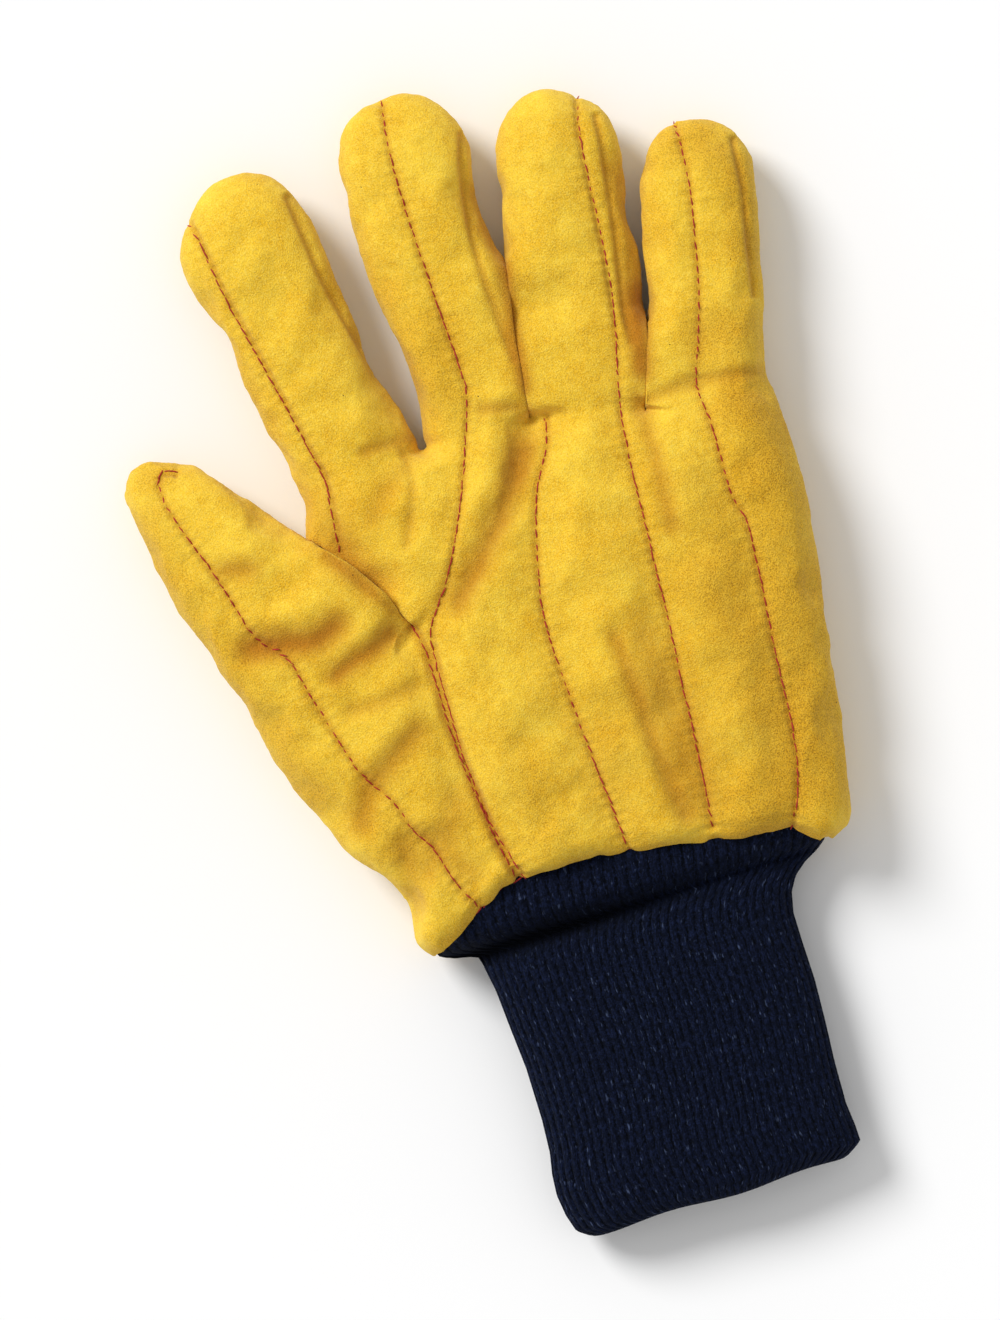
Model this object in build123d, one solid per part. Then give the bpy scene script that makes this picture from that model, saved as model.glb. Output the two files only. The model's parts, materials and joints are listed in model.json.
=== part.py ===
"""A left-hand quilted cotton-fleece work glove with a rib-knit wrist, lying on its back.

Millimetres. +Z points up out of the palm, +Y from the wrist to the fingertips, and the thumb is at -X.
The origin is on the floor, under the middle of the glove.
"""

from build123d import *
import os
from math import asin, atan2, cos, degrees, hypot, radians, sin, sqrt, tan

os.makedirs("parts", exist_ok=True)

# ---------------------------------------------------------------- driving sizes

# Cloth
fleece = 2.0  # outer napped fleece
lining = 1.5  # flannel inside it
knit = 2.8  # double layer of rib knit
ply_gap = 0.3  # air between fleece and lining
seam_height = 11.0  # where the front panels are sewn to the back panels
top_round = 8.0  # rolled edge of the palm side
bottom_round = 6.0  # rolled edge of the back
bend_gap = 0.4  # slit at each bend line
axis_lift = 0.2  # a bend axis lies this far over the cloth that it folds

# Threads, which lie on the palm side
thread_width = 0.9
thread_height = 0.5
thread_stop = 2.0  # a line of quilting stops this far from a bend line
rolled_stop = 9.0  # and this far inside a rolled edge

# Fingers, from the thumb side. Each stands on the web line, which runs across the hand: lean is degrees
# to the right of +Y, reach is from the web line to the fingertip, and both bends are measured from
# there too. quilt is how far its line of quilting runs from its middle.
finger_thickness = 22.0
web_y = 58.0
web_gap = 0.9  # between neighbours at their knuckle bends
index_gap = 2.2  # but the index finger stands further from the middle finger
middle_x = 2.9  # the middle finger on the web line
fingers = {
    "index": dict(lean=-9.3, width=30.0, reach=74.0, knuckle=9.0, mid=41.0, quilt=-6.0),
    "middle": dict(lean=1.0, width=28.4, reach=80.8, knuckle=9.0, mid=43.0, quilt=-1.0),
    "ring": dict(lean=9.3, width=28.6, reach=72.0, knuckle=8.0, mid=39.0, quilt=5.5),
    "little": dict(lean=13.5, width=28.0, reach=56.0, knuckle=3.5, mid=30.0, quilt=-1.5),
}

# Hand
palm_thickness = 26.0
hand_end_y = -58.0  # where the fleece stops at the wrist
little_web = 6.0  # the web beside the little finger is this much lower than the others
palm_side_x = 73.2  # widest point of the palm, under the little finger
palm_side_y = 22.0
heel_side_x = 62.3  # little-finger side of the heel, and where it turns in to the wrist
heel_side_y = -50.0
heel_turn = 38.0  # degrees that the heel turns in by

# Thumb, which lies flat in the plane of the palm
hinge_x = -25.5  # the seam that joins the thumb panel to the palm is its bend line
thumb_crotch_y = 19.0  # top end of that seam
thumb_thickness = 25.0
thumb_gap = 0.6  # between the thumb's inner side and the palm's edge beside it
thumb_tip_x = -72.4  # middle of the round tip
thumb_tip_y = 58.8
thumb_tip_round = 12.0
thumb_tip_length = 29.0  # from the thumb's own bend to its end
thumb_bulge_x = -68.0  # outer side, level with the middle of the palm
thumb_bulge_y = -5.0
thumb_notch_x = -56.0  # outer side, where the thumb leaves the heel
thumb_notch_y = -33.0
thumb_root_x = -47.0  # outer side at the wrist
thumb_root_y = -50.0
thumb_quilt = 14.0  # its line of quilting, from the outer side

# Wrist
cuff_width = 73.0
cuff_thickness = 19.0
cuff_x = 4.0  # middle of the cuff
wrist_y = -66.0  # the wrist bend line
cuff_length = 72.8
cuff_round = 9.0
cuff_end_round = 1.2  # folded end of the knit
band_width = 96.0  # the flared knit band where it meets the fleece
band_thickness = 25.0

far = 200.0  # past the end of anything

# ---------------------------------------------------------------- helpers


def box_between(low, high):
    """A box from its lowest corner to its highest."""
    size = [b - a for a, b in zip(low, high)]
    centre = [(a + b) / 2 for a, b in zip(low, high)]
    return Pos(*centre) * Box(*size)


def pad(outline, thickness, inset):
    """A soft slab on the floor with rolled edges, drawn in all round by inset."""
    plan = offset(outline, -inset, kind=Kind.INTERSECTION) if inset else outline
    slab = Pos(0, 0, inset) * extrude(plan, thickness - 2 * inset)
    slab = fillet(slab.edges().group_by(Axis.Z)[-1], top_round - inset)
    return fillet(slab.edges().group_by(Axis.Z)[0], bottom_round - inset)


def tangent_point(point, centre, radius, side):
    """Where a line from point touches a circle, on its right (+1) or left (-1) as seen from point."""
    dx, dy = centre[0] - point[0], centre[1] - point[1]
    away = hypot(dx, dy)
    length = sqrt(away**2 - radius**2)
    turn = atan2(dy, dx) - side * asin(radius / away)
    return point[0] + length * cos(turn), point[1] + length * sin(turn)


def thread(points, z):
    """A flat strip of stitches along a smooth line."""
    path = Spline(*points) if len(points) > 2 else Line(*points)
    return Pos(0, 0, z) * extrude(trace(path, thread_width), thread_height)


# ---------------------------------------------------------------- finger row


def half_row(name):
    """Half a finger's width, measured along the web line."""
    return fingers[name]["width"] / 2 / cos(radians(fingers[name]["lean"]))


def step_between(left, right, gap):
    """Between two neighbours' middles on the web line, so that gap parts them at the knuckles."""
    spread = tan(radians(fingers[right]["lean"])) - tan(radians(fingers[left]["lean"]))
    knuckle = min(fingers[left]["knuckle"], fingers[right]["knuckle"])
    return half_row(left) + half_row(right) + gap - spread * knuckle


finger_x = {"middle": middle_x}
finger_x["index"] = middle_x - step_between("index", "middle", index_gap)
finger_x["ring"] = middle_x + step_between("middle", "ring", web_gap)
finger_x["little"] = finger_x["ring"] + step_between("ring", "little", web_gap)


def finger_place(name):
    """A finger's own frame: its origin on the web line and its +Y towards the tip."""
    return Pos(finger_x[name], web_y, 0) * Rot(0, 0, -fingers[name]["lean"])


def finger_point(name, across, along):
    lean = radians(fingers[name]["lean"])
    x = finger_x[name] + across * cos(lean) + along * sin(lean)
    return x, web_y - across * sin(lean) + along * cos(lean)


def finger_pad(name, inset):
    """A whole finger, whose round root lies hidden in the palm."""
    f = fingers[name]
    root = f["width"] / 2 + top_round + 2
    slot = Rot(0, 0, 90) * SlotOverall(f["reach"] + root, f["width"])
    return finger_place(name) * pad(Pos(0, (f["reach"] - root) / 2) * slot, finger_thickness, inset)


def finger_slice(name, start, end):
    """A box round one finger only, between two distances from the web line."""
    half = fingers[name]["width"] / 2 + web_gap / 4
    return finger_place(name) * box_between((-half, start, -1), (half, end, far))


# ---------------------------------------------------------------- palm and thumb outlines

thumb_crotch = (hinge_x, thumb_crotch_y)
thumb_tip = (thumb_tip_x, thumb_tip_y)
thumb_bulge = (thumb_bulge_x, thumb_bulge_y)
inner_touch = tangent_point(thumb_crotch, thumb_tip, thumb_tip_round, 1)
outer_touch = tangent_point(thumb_bulge, thumb_tip, thumb_tip_round, -1)
inner_slope = (inner_touch[0] - hinge_x) / (inner_touch[1] - thumb_crotch_y)


def beside_thumb(y):
    """A point of the palm's edge, which follows the thumb's inner side at thumb_gap."""
    clear = thumb_gap * hypot(1, inner_slope)
    return hinge_x + inner_slope * (y - thumb_crotch_y) + clear, y


def palm_outline():
    index_foot = finger_point("index", -fingers["index"]["width"] / 2, 0)[1] - top_round * 1.8
    end_y = hand_end_y - 2 * top_round
    heel_x = heel_side_x - (heel_side_y - end_y) * tan(radians(heel_turn))
    corners = [
        beside_thumb(thumb_crotch_y),
        beside_thumb(index_foot),
        (finger_x["index"] + half_row("index"), web_y),
        (finger_x["ring"] + half_row("ring"), web_y - little_web),
        finger_point("little", fingers["little"]["width"] / 2, -little_web),
        (palm_side_x, palm_side_y),
        (heel_side_x, heel_side_y),
        (heel_x, end_y),
        (2 * hinge_x, end_y),
        (2 * hinge_x, thumb_crotch_y),
    ]
    return make_face(Polyline(*corners, close=True))


def thumb_outline():
    top = (thumb_tip_x, thumb_tip_y + thumb_tip_round)
    end_y = hand_end_y - 2 * top_round
    side = Polyline(
        inner_touch,
        thumb_crotch,
        (0, thumb_crotch_y),
        (0, end_y),
        (thumb_root_x, end_y),
        (thumb_root_x, thumb_root_y),
        (thumb_notch_x, thumb_notch_y),
        thumb_bulge,
        outer_touch,
    )
    return make_face(side + ThreePointArc(outer_touch, top, inner_touch))


# ---------------------------------------------------------------- the two plies of each region

above_seam = box_between((-far, -far, seam_height), (far, far, far))
below_seam = box_between((-far, -far, -far), (far, far, seam_height))


def hand_solid(inset):
    solid = pad(palm_outline(), palm_thickness, inset)
    for name in fingers:
        solid += finger_pad(name, inset)
    return solid


def plies(solid_at):
    """The fleece and the lining of a region, as two shells one inside the other."""
    outer_inset, inner_inset = fleece + ply_gap, fleece + ply_gap + lining
    fleece_shell = solid_at(0) - solid_at(fleece)
    lining_shell = solid_at(outer_inset) - solid_at(inner_inset)
    return fleece_shell, lining_shell


nodes = {}


def add_segment(name, shells, keep):
    """One body's panels and lining: the part of the shells that lies in the solid called keep."""
    fleece_shell, lining_shell = shells
    outer = fleece_shell & keep
    nodes[name + "_front_panel"] = outer & above_seam
    nodes[name + "_back_panel"] = outer & below_seam
    nodes[name + "_lining"] = lining_shell & keep


# ---------------------------------------------------------------- hand and fingers

hand_shells = plies(hand_solid)
past_thumb = box_between((-far, -far, -1), (hinge_x + bend_gap / 2, thumb_crotch_y, far))
hand_room = box_between((-far, hand_end_y, -1), (far, far, far)) - past_thumb
for name, f in fingers.items():
    hand_room -= finger_slice(name, f["knuckle"] - bend_gap / 2, far)
add_segment("hand", hand_shells, hand_room)

for name, f in fingers.items():
    knuckle, mid = f["knuckle"], f["mid"]
    finger_shells = plies(lambda inset: finger_pad(name, inset))
    lower_room = finger_slice(name, knuckle + bend_gap / 2, mid - bend_gap / 2)
    add_segment(name + "_lower", finger_shells, lower_room)
    add_segment(name + "_upper", finger_shells, finger_slice(name, mid + bend_gap / 2, far))
    for part, start, end in (
        ("_lower", knuckle + thread_stop, mid - thread_stop),
        ("_upper", mid + thread_stop, f["reach"] - f["width"] / 2),
    ):
        line = [finger_point(name, f["quilt"], along) for along in (start, end)]
        nodes[name + part + "_quilting"] = thread(line, finger_thickness)

# ---------------------------------------------------------------- thumb

thumb_shells = plies(lambda inset: pad(thumb_outline(), thumb_thickness, inset))
side_x = inner_touch[0] - hinge_x + outer_touch[0] - thumb_bulge_x
side_y = inner_touch[1] - thumb_crotch_y + outer_touch[1] - thumb_bulge_y
thumb_lean = degrees(atan2(side_x, side_y))
thumb_bend = thumb_tip_round - thumb_tip_length  # in the thumb's own frame


def thumb_point(across, along):
    lean = radians(thumb_lean)
    x = thumb_tip_x + across * cos(lean) + along * sin(lean)
    return x, thumb_tip_y - across * sin(lean) + along * cos(lean)


thumb_place = Pos(thumb_tip_x, thumb_tip_y, 0) * Rot(0, 0, -thumb_lean)
thumb_room = box_between((-far, hand_end_y + bend_gap / 2, -1), (hinge_x - bend_gap / 2, far, far))
past_bend = thumb_place * box_between((-far, thumb_bend - bend_gap / 2, -1), (far, far, far))
tip_room = thumb_place * box_between((-far, thumb_bend + bend_gap / 2, -1), (far, far, far))
add_segment("thumb", thumb_shells, thumb_room - past_bend)
add_segment("thumb_tip", thumb_shells, tip_room)

thumb_line = [
    (thumb_root_x + thumb_quilt, hand_end_y + 3 * thread_stop),
    (thumb_notch_x + thumb_quilt, thumb_notch_y),
    (thumb_bulge_x + thumb_quilt, thumb_bulge_y),
    thumb_point(0, thumb_bend - thread_stop),
]
nodes["thumb_quilting"] = thread(thumb_line, thumb_thickness)
tip_line = [thumb_point(0, thumb_bend + thread_stop), thumb_point(0, 0)]
nodes["thumb_tip_quilting"] = thread(tip_line, thumb_thickness)

# ---------------------------------------------------------------- wrist


def wrist_section(width, thickness, inset, y):
    """A rounded rectangle across the wrist, standing on the floor."""
    plane = Plane((cuff_x, y, thickness / 2), x_dir=(1, 0, 0), z_dir=(0, -1, 0))
    return plane * RectangleRounded(width - 2 * inset, thickness - 2 * inset, cuff_round - inset)


def band_solid(inset):
    start = wrist_section(band_width, band_thickness, inset, hand_end_y - bend_gap / 2)
    end = wrist_section(cuff_width, cuff_thickness, inset, wrist_y + bend_gap / 2)
    return loft([start, end])


def cuff_solid(inset):
    return extrude(wrist_section(cuff_width, cuff_thickness, inset, wrist_y - bend_gap / 2), cuff_length)


nodes["knit_band"] = band_solid(0) - band_solid(knit)
cuff = cuff_solid(0) - cuff_solid(knit)
nodes["knit_cuff"] = fillet(cuff.edges().group_by(Axis.Y)[0], cuff_end_round)

# ---------------------------------------------------------------- palm threads

line_top = web_y - rolled_stop
line_end = hand_end_y + 3 * thread_stop
beside_seam = hinge_x + thread_stop
between = (finger_x["middle"] + finger_x["ring"]) / 2
quilting = {
    "middle": [
        (finger_x["middle"] - 5, line_top),
        (-9, 32),
        (beside_seam, 8),
        (beside_seam, -24),
        (-19, line_end),
    ],
    "ring": [(between, line_top), (9, 28), (4, -4), (7, line_end)],
    "ring_side": [finger_point("ring", fingers["ring"]["quilt"], -rolled_stop), (33, 10), (28, line_end)],
    "little": [finger_point("little", -4, -2 * rolled_stop), (55, 10), (49, line_end)],
}
for name, points in quilting.items():
    nodes["palm_quilting_" + name] = thread(points, palm_thickness)

wrist_line_y = hand_end_y + 1.5 * thread_stop
wrist_line = [(beside_seam, wrist_line_y), (heel_side_x - top_round - 4, wrist_line_y)]
nodes["wrist_seam_thread"] = thread(wrist_line, palm_thickness)

seam_x = hinge_x - thread_stop
seam = [(seam_x, line_end), (seam_x, thumb_crotch_y - rolled_stop)]
nodes["thumb_seam_thread"] = thread(seam, thumb_thickness)

for name, node in nodes.items():
    export_step(node, f"parts/{name}.step")
    print(name, len(node.solids()), round(node.volume))
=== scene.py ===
"""A left-hand quilted work glove: yellow napped cotton fleece, red quilting, navy rib-knit wrist, palm up."""

import json
from collections import namedtuple
from math import atan2, cos, hypot, pi, radians, sin

import bpy
import numpy as np
from mathutils import Matrix, Vector
from mathutils.bvhtree import BVHTree


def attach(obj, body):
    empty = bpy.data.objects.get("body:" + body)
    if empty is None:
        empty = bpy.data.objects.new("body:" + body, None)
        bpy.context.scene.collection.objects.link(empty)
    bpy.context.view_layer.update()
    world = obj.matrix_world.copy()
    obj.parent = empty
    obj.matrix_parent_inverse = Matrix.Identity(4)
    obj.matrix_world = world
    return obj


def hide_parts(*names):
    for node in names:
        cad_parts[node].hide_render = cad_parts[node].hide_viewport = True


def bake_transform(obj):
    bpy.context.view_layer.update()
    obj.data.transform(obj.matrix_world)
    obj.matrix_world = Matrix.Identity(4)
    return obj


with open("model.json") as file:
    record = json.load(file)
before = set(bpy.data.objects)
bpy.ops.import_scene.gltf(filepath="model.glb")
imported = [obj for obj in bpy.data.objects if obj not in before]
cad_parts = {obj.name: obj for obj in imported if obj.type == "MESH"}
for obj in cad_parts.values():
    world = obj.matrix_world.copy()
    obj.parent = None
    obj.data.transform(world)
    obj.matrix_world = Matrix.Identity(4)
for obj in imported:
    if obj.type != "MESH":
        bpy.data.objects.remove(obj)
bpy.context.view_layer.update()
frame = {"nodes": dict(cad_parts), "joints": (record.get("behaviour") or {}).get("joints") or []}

# ============================== studio
# A pale table under soft daylight. The main light comes low from the side of the index finger, so the
# walls of the fingers that face the little finger fall into shade. The camera looks straight down.

mm = 0.001
table_size = 6.0
table_drop = 0.2 * mm
bpy.ops.object.select_all(action="DESELECT")
bpy.ops.mesh.primitive_plane_add(size=table_size, location=(0, 0, -table_drop))
table = bpy.context.object
table.name = "studio_floor"
bpy.ops.object.transform_apply(location=True)

paper = bpy.data.materials.new("white_paper")
paper.use_nodes = True
paper_shader = paper.node_tree.nodes["Principled BSDF"]
paper_shader.inputs["Base Color"].default_value = (0.94, 0.94, 0.94, 1)
paper_shader.inputs["Roughness"].default_value = 0.9
table.data.materials.append(paper)

scene = bpy.context.scene
scene.world = bpy.data.worlds.new("daylight")
scene.world.use_nodes = True
sky = scene.world.node_tree.nodes["Background"]
sky.inputs["Color"].default_value = (1, 1, 1, 1)
sky.inputs["Strength"].default_value = 0.58

view_turn = radians(-17)
view_up = Vector((-sin(view_turn), cos(view_turn), 0))
view_right = Vector((cos(view_turn), sin(view_turn), 0))
light_height = radians(38)
light_side = (0.62 * view_up - 0.78 * view_right).normalized()
light_from = light_side * cos(light_height) + Vector((0, 0, sin(light_height)))
bpy.ops.object.light_add(type="SUN", location=light_from)
window = bpy.context.object
window.name = "window_light"
window.rotation_euler = light_from.to_track_quat("Z", "Y").to_euler()
window.data.energy = 2.5
window.data.angle = radians(24)

camera_height = 2.0
middle_x, middle_y, middle_z = -8.95 * mm, 0.66 * mm, 11 * mm
seen_height = 316.8 * mm
film_height = 36
camera_place = (middle_x, middle_y, camera_height + middle_z)
bpy.ops.object.camera_add(location=camera_place, rotation=(0, 0, view_turn))
camera = bpy.context.object
camera.data.sensor_fit = "VERTICAL"
camera.data.sensor_height = film_height
camera.data.lens = film_height * camera_height / seen_height
camera.data.clip_start = 0.01
scene.camera = camera
scene.view_settings.view_transform = "Standard"

# ============================== fleece shell
# The hand of the glove is cut from napped cotton fleece, front and back, and sewn together inside out.
# Each finger, the thumb and the palm starts as a soft sleeve, drawn ring by ring from the wrist end up.
# A ring runs from its left edge to its right edge, in millimetres, and from its lowest to highest point.

edge_rounding = 9.5


def sleeve(name, rings):
    """A closed sleeve through rings, each (left x, left y, right x, right y, low, high)."""
    bpy.ops.object.select_all(action="DESELECT")
    bpy.ops.mesh.primitive_plane_add(size=1, location=(0, 0, 0), rotation=(pi / 2, 0, 0))
    piece = bpy.context.object
    piece.name = name
    bpy.ops.object.transform_apply(rotation=True)
    bpy.ops.object.mode_set(mode="EDIT")
    bpy.ops.mesh.select_all(action="SELECT")
    centre, wide, high, turn = Vector((0, 0, 0)), 1.0, 1.0, 0.0
    for number, (left_x, left_y, right_x, right_y, low, top) in enumerate(rings):
        new_centre = Vector(((left_x + right_x) / 2, (left_y + right_y) / 2, (low + top) / 2)) * mm
        new_wide = hypot(right_x - left_x, right_y - left_y) * mm
        new_high = (top - low) * mm
        new_turn = atan2(right_y - left_y, right_x - left_x)
        if number:
            bpy.ops.mesh.extrude_region_move(TRANSFORM_OT_translate={"value": new_centre - centre})
        else:
            bpy.ops.transform.translate(value=new_centre - centre)
        # turned square to be resized, and then to its own slant
        bpy.ops.transform.rotate(value=turn, orient_axis="Z", center_override=new_centre)
        ratio = (new_wide / wide, 1, new_high / high)
        bpy.ops.transform.resize(value=ratio, center_override=new_centre)
        if not number:
            bpy.ops.mesh.bevel(offset=edge_rounding * mm, segments=5, affect="VERTICES")
        bpy.ops.transform.rotate(value=-new_turn, orient_axis="Z", center_override=new_centre)
        centre, wide, high, turn = new_centre, new_wide, new_high, new_turn
    bpy.ops.mesh.select_all(action="SELECT")
    bpy.ops.mesh.subdivide(number_cuts=3)
    bpy.ops.mesh.normals_make_consistent(inside=False)
    bpy.ops.object.mode_set(mode="OBJECT")
    return piece


palm = sleeve("palm", [
    (-38, -78, 49, -78, 2, 20),
    (-38, -66, 54, -66, 0.5, 22),
    (-38, -58, 59.5, -57.5, 0, 23.5),
    (-36, -50, 62.5, -50, 0, 24.5),
    (-34, -30, 66, -30, 0, 25.5),
    (-32, -10, 69, -10, 0, 26),
    (-29, 10, 72, 10, 0, 26),
    (-30, 19, 73.3, 22, 0, 26),
    (-34, 27, 73.5, 33, 0, 25.5),
    (-40, 38, 73.2, 42, 0, 24.5),
    (-43, 54, 73.5, 44.5, 0, 22.5),
])

fingers = {
    "index": sleeve("index", [
        (-40, 35, -14, 31, 1, 22),
        (-43.5, 50, -12.5, 50, 0, 22),
        (-45, 62, -13.5, 62, 0, 22),
        (-48, 80, -17, 79, 0, 22),
        (-50.5, 95, -19.5, 93, 0, 22),
        (-53, 104, -20.8, 105, 0, 22),
        (-55, 112, -21.6, 113.5, 0, 21.5),
        (-54.3, 118, -22.6, 118.5, 0.5, 20.5),
        (-50.5, 123.8, -25, 124.5, 2.5, 18.5),
        (-46.5, 127.6, -28, 127.6, 5, 16),
        (-42, 130.2, -32.5, 130.3, 7.5, 13.5),
    ]),
    "middle": sleeve("middle", [
        (-9, 35, 14, 35, 1, 22),
        (-10, 50, 15, 50, 0, 22),
        (-10.6, 66, 16.5, 66, 0, 22),
        (-11.3, 80, 18, 80, 0, 22),
        (-12, 94, 20.2, 93, 0, 22),
        (-12, 108, 19.6, 108, 0, 22),
        (-12.2, 120, 21.3, 120, 0, 21.5),
        (-11.4, 127.3, 19.6, 128, 1, 20),
        (-8.6, 133, 16.2, 133.8, 3.5, 17.5),
        (-4.5, 136.7, 12.2, 137.1, 5.5, 15.5),
        (1, 138.6, 8, 138.6, 8, 13),
    ]),
    "ring": sleeve("ring", [
        (14, 35, 38, 34, 1, 22),
        (15, 47, 42.6, 47, 0, 22),
        (15.5, 60, 46.2, 61, 0, 22),
        (17.6, 78, 50.3, 78, 0, 22),
        (20.2, 93, 52.6, 92, 0, 22),
        (22.8, 104, 53.7, 104, 0, 22),
        (24, 113, 55.4, 113, 0, 21.5),
        (26.2, 120.5, 53.8, 120.5, 1, 19.5),
        (30.5, 125.6, 49.6, 125.2, 3.5, 17),
        (35, 128.7, 44, 128.7, 7, 14),
    ]),
    "little": sleeve("little", [
        (44, 33, 73, 33, 1, 21),
        (43.5, 49, 73.5, 48, 0, 22),
        (48, 65, 77, 63, 0, 22),
        (50.9, 78, 80, 78.5, 0, 22),
        (53.7, 91, 82.7, 91, 0, 22),
        (56.3, 101.5, 84.5, 98.8, 0.5, 20.5),
        (60, 108.3, 82.4, 105, 3, 18),
        (64, 111.7, 78, 110, 5.5, 15.5),
        (68.5, 113, 73, 112.5, 8, 12.5),
    ]),
}

thumb = sleeve("thumb", [
    (-42, -78, -10, -78, 2, 20),
    (-47, -66, -10, -66, 0.5, 22),
    (-49.3, -57, -10, -57, 0, 23),
    (-47.7, -48, -10, -48, 0, 24),
    (-50, -41.5, -10, -38, 0, 24.5),
    (-57, -34.5, -12, -26, 0, 25),
    (-60.3, -25, -14, -12, 0, 25),
    (-65.7, -13, -18, 2, 0, 25),
    (-68.7, -3, -24, 14, 0, 25),
    (-71.3, 7.5, -31.5, 23, 0, 25),
    (-75.8, 20.5, -40, 35, 0, 24),
    (-79.3, 33, -48.8, 48.2, 0, 23),
    (-81.3, 42, -53.7, 54.3, 0, 22),
    (-82.6, 51, -59, 61, 0.5, 20.5),
    (-83.7, 59, -64.3, 66.8, 2, 18),
    (-84.3, 65, -70, 69.8, 4.5, 15.5),
    (-82, 70, -75, 71.4, 7.5, 12),
])

# ============================== fingers sewn to the palm
# Neighbouring fingers lie against each other, and the thumb lies against the palm's edge. Each gap is
# held open while the pieces are joined into one skin, and closes again once the skin is soft.

# A gap is a line in the plane of the hand from its crotch up, how wide it is held open each side, and how
# far up from the crotch its walls touch in the end.
Gap = namedtuple("Gap", "line held touching")
gaps = {
    "index and middle": Gap([(-12, 57), (-12.5, 70), (-15.5, 92), (-18, 145)], 3.0, 0),
    "middle and ring": Gap([(15, 56), (16.8, 72), (20.2, 91), (22, 108), (25, 145)], 3.6, 28),
    "ring and little": Gap([(42.5, 50), (47.3, 64), (51.8, 80), (56, 104), (60, 145)], 3.6, 12),
    "thumb and palm": Gap([(-27, 15.5), (-31.5, 22), (-40, 34.5), (-44, 40.5), (-75, 80)], 3.6, 25),
}
*finger_gaps, thumb_gap = gaps.values()
gap_reach = 14.0
gap_ramp = 3.0


def read(parts, field, width=3, kind=np.float32):
    """One field of all the points, corners or faces of a mesh, with a row for each."""
    values = np.empty(len(parts) * width, dtype=kind)
    parts.foreach_get(field, values)
    return values.reshape(-1, width)


def points_of(piece):
    """A piece's points as an array, in millimetres."""
    return read(piece.data.vertices, "co").astype(float) / mm


def put_points(piece, points):
    """Moves a piece's points to new places, in millimetres."""
    piece.data.vertices.foreach_set("co", (points * mm).astype(np.float32).ravel())
    piece.data.update()


Near = namedtuple("Near", "along far side length")


def near_line(points, line, beyond=False):
    """How far each point lies along a line drawn on the table, how far from it, and to which side.

    The side is 1 to the line's right and -1 to its left. With beyond, the line runs on past its ends."""
    line = np.array(line, dtype=float)
    nearest = np.full(len(points), 1e9)
    along, side = np.zeros(len(points)), np.ones(len(points))
    travelled = 0.0
    for number, (start, end) in enumerate(zip(line[:-1], line[1:])):
        run = end - start
        length = np.hypot(*run)
        step = (points[:, :2] - start) @ run / length**2
        reached = np.clip(step, -np.inf if number == 0 else 0, np.inf if number == len(line) - 2 else 1)
        away = points[:, :2] - start - (reached if beyond else np.clip(step, 0, 1))[:, None] * run
        far = np.hypot(away[:, 0], away[:, 1])
        nearer = far < nearest
        nearest = np.where(nearer, far, nearest)
        side = np.where(nearer, np.where(away[:, 0] * run[1] >= away[:, 1] * run[0], 1, -1), side)
        along = np.where(nearer, travelled + reached * length, along)
        travelled += length
    return Near(along, nearest, side, travelled)


def from_crotch(points, gap):
    """How far each point lies from the crotch of a gap, as seen from above."""
    return np.hypot(*(points[:, :2] - np.array(gap.line[0])).T)


def soft_step(values):
    """Rises smoothly from 0 to 1 as a value goes from 0 to 1."""
    values = np.clip(values, 0, 1)
    return values * values * (3 - 2 * values)


def push_across(points, gap, push):
    """Moves points across a gap, in the plane of the hand."""
    run = Vector(gap.line[-1]) - Vector(gap.line[0])
    across = np.array([run.y, -run.x]) / run.length
    points[:, :2] += push[:, None] * across
    return points


def open_gap(piece, gap, wall):
    """Moves the wall of a gap that is on one side of its line away from the line."""
    points = points_of(piece)
    near = near_line(points, gap.line, beyond=True)
    hold = gap.held * soft_step(near.along / gap_ramp + 1)
    far = np.where(near.side == wall, near.far, 0)
    wanted = far + hold * (1 - far / gap_reach)
    put_points(piece, push_across(points, gap, np.where(far < gap_reach, wanted - far, 0) * wall))


side_by_side = list(fingers.values())
for left, right, gap in zip(side_by_side, side_by_side[1:], finger_gaps):
    open_gap(left, gap, -1)
    open_gap(right, gap, 1)
open_gap(thumb, thumb_gap, -1)
open_gap(palm, thumb_gap, 1)
open_gap(fingers["index"], thumb_gap, 1)


def select_only(*pieces):
    """Leaves only these pieces selected, and the first of them active."""
    bpy.ops.object.select_all(action="DESELECT")
    for piece in pieces:
        piece.select_set(True)
    bpy.context.view_layer.objects.active = pieces[0]


select_only(palm, *fingers.values(), thumb)
bpy.ops.object.join()
skin = palm
skin.name = "glove_skin"


def use_modifier(piece, kind, **settings):
    """Adds a modifier to a piece and applies it."""
    select_only(piece)
    modifier = piece.modifiers.new(kind, kind)
    for setting, value in settings.items():
        setattr(modifier, setting, value)
    bpy.ops.object.modifier_apply(modifier=modifier.name)


mesh_step = 2.4
use_modifier(skin, "REMESH", mode="VOXEL", voxel_size=mesh_step * mm)
use_modifier(skin, "SMOOTH", factor=0.5, iterations=6)

# ============================== quilting
# Rows of red lockstitch hold the fleece to its lining: one down each finger and on through the palm, and
# one down the thumb. The fleece puffs up between the rows. Each row is a curve through a few points.

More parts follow.
